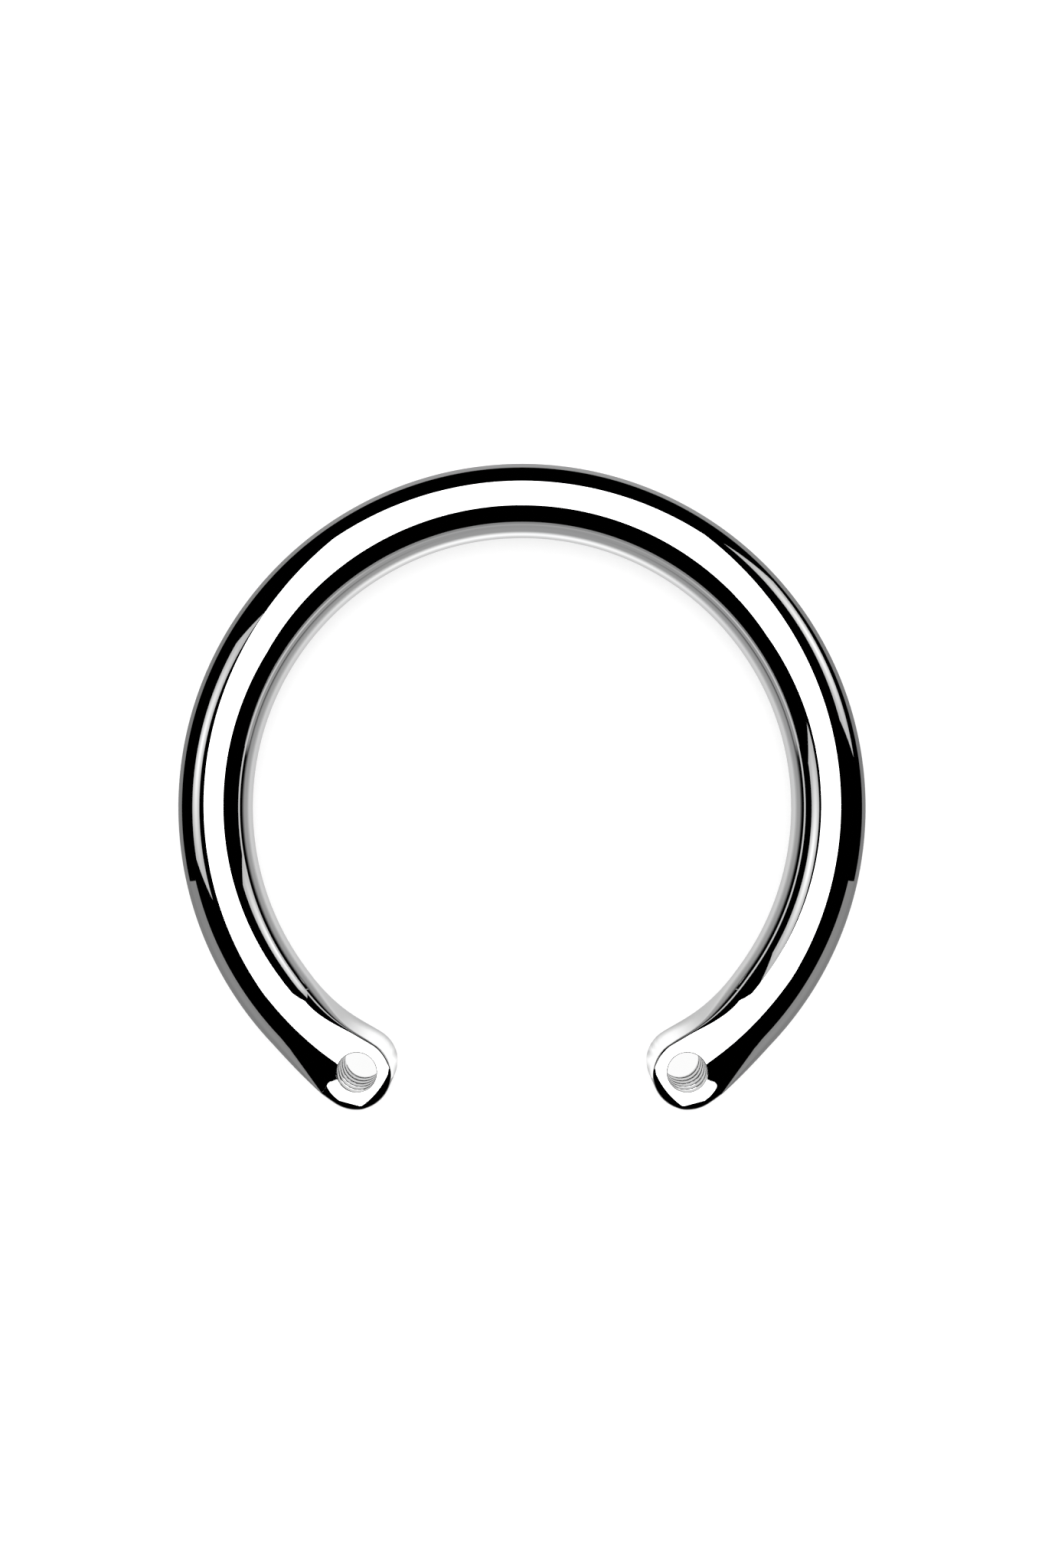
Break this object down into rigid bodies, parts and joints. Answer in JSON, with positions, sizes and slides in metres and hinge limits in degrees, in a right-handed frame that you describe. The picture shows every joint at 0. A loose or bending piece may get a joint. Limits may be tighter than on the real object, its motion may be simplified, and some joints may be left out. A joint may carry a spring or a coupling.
{
  "type": "septum ring",
  "caption": "Open horseshoe ring of round polished wire, worn through the septum, with a flat tapped eyelet at each end that takes a screw-in front piece.",
  "frame": {"origin": "on the surface that the ring rests on, under the middle of its outline", "axes": "+Z along the ring's axis, towards the side that the screws go in from; +Y to the closed top of the bow; +X to the right seen from the +Z side"},
  "size_m": [0.0112, 0.0105, 0.0012],
  "materials": {
    "polished_titanium": "mirror-polished titanium, neutral grey"
  },
  "bodies": {
    "root": {"ring": "polished_titanium"}
  },
  "joints": []
}
